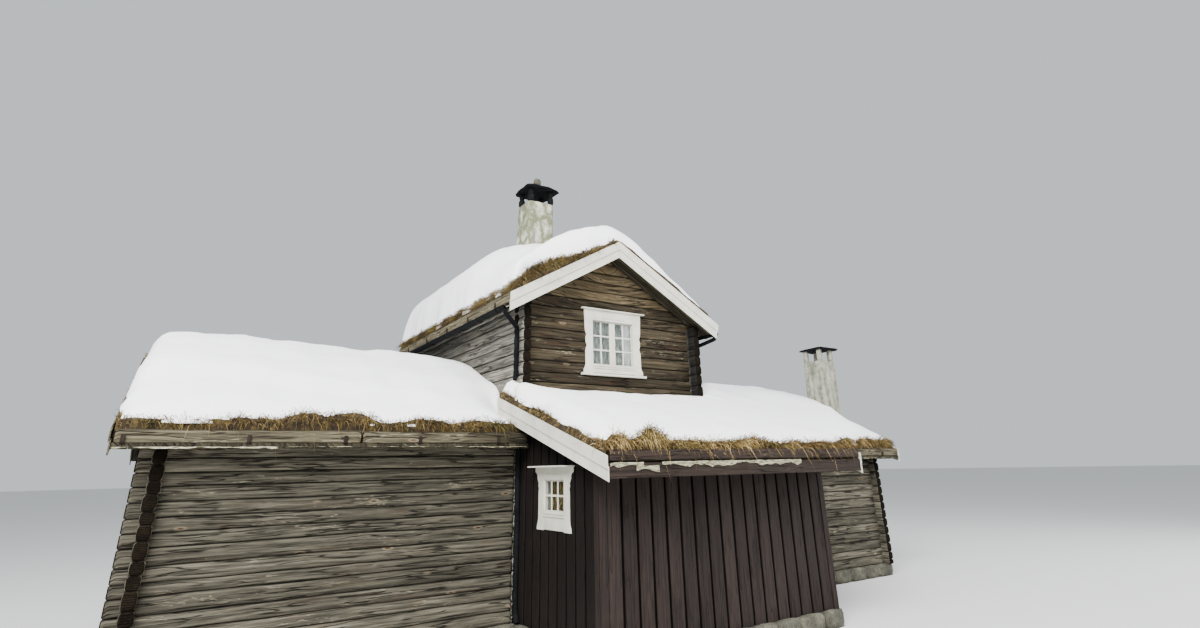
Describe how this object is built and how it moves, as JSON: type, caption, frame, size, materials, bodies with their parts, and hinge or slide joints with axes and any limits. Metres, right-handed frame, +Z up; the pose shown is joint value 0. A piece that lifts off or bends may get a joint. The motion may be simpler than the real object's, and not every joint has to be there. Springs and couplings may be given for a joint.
{
  "type": "log cabin",
  "caption": "Log cabin with a raised middle part, a board-clad annex, snow-covered sod roofs and chimneys.",
  "frame": {"origin": "on the ground, under the middle of the whole house", "axes": "+X along the front from the left wing to the right wing, +Y from the front to the back, +Z up"},
  "size_m": [14.59, 8.92, 8.51],
  "materials": {
    "grey_logs": "weathered silver-grey pine logs with drying cracks",
    "brown_logs": "sun-browned pine logs with pale streaks and knots",
    "tarred_cladding": "dark brown stained vertical boards",
    "roof_boards": "grey weathered sawn boards and squared logs",
    "floor_boards": "worn bare floor boards",
    "turf": "sod with dry grass",
    "snow": "settled snow",
    "white_paint": "white paint on wood",
    "foundation_stone": "dry-laid field stone",
    "limewashed_masonry": "stained limewash over masonry",
    "cap_slate": "split dark slab",
    "window_glass": "clear panes",
    "lace": "white lace",
    "black_tin": "black painted sheet metal"
  },
  "bodies": {
    "root": {"stone_foundation": "foundation_stone", "left_wing_floor": "floor_boards", "main_floor": "floor_boards", "right_wing_floor": "floor_boards", "annex_floor": "floor_boards", "loft_floor": "floor_boards", "left_wing_front_wall": "grey_logs", "left_wing_back_wall": "grey_logs", "left_wing_gable_wall": "grey_logs", "right_wing_front_wall": "grey_logs", "right_wing_back_wall": "grey_logs", "right_wing_gable_wall": "grey_logs", "main_front_wall": "brown_logs", "main_back_wall": "brown_logs", "main_left_wall": "grey_logs", "main_right_wall": "grey_logs", "annex_front_wall": "tarred_cladding", "annex_left_wall": "tarred_cladding", "annex_right_wall": "tarred_cladding", "annex_door": "tarred_cladding", "left_wing_roof_boards": "roof_boards", "left_wing_turf": "turf", "left_wing_snow": "snow", "left_wing_bargeboards": "roof_boards", "left_wing_front_turf_log": "roof_boards", "left_wing_back_turf_log": "roof_boards", "right_wing_roof_boards": "roof_boards", "right_wing_turf": "turf", "right_wing_snow": "snow", "right_wing_bargeboards": "roof_boards", "right_wing_front_turf_log": "roof_boards", "right_wing_back_turf_log": "roof_boards", "main_roof_boards": "roof_boards", "main_turf": "turf", "main_snow": "snow", "main_front_bargeboards": "white_paint", "main_back_bargeboards": "white_paint", "main_left_turf_log": "roof_boards", "main_right_turf_log": "roof_boards", "annex_roof_boards": "roof_boards", "annex_turf": "turf", "annex_snow": "snow", "annex_turf_log": "roof_boards", "annex_left_bargeboard": "white_paint", "annex_right_bargeboard": "white_paint", "main_chimney": "limewashed_masonry", "main_chimney_cap": "cap_slate", "right_chimney": "limewashed_masonry", "right_chimney_cap": "cap_slate", "upper_window_frame": "white_paint", "upper_window_glass": "window_glass", "upper_window_curtain": "lace", "back_window_frame": "white_paint", "back_window_glass": "window_glass", "annex_window_frame": "white_paint", "annex_window_glass": "window_glass", "annex_window_curtain": "lace", "main_left_gutter": "black_tin", "main_right_gutter": "black_tin"}
  },
  "joints": []
}
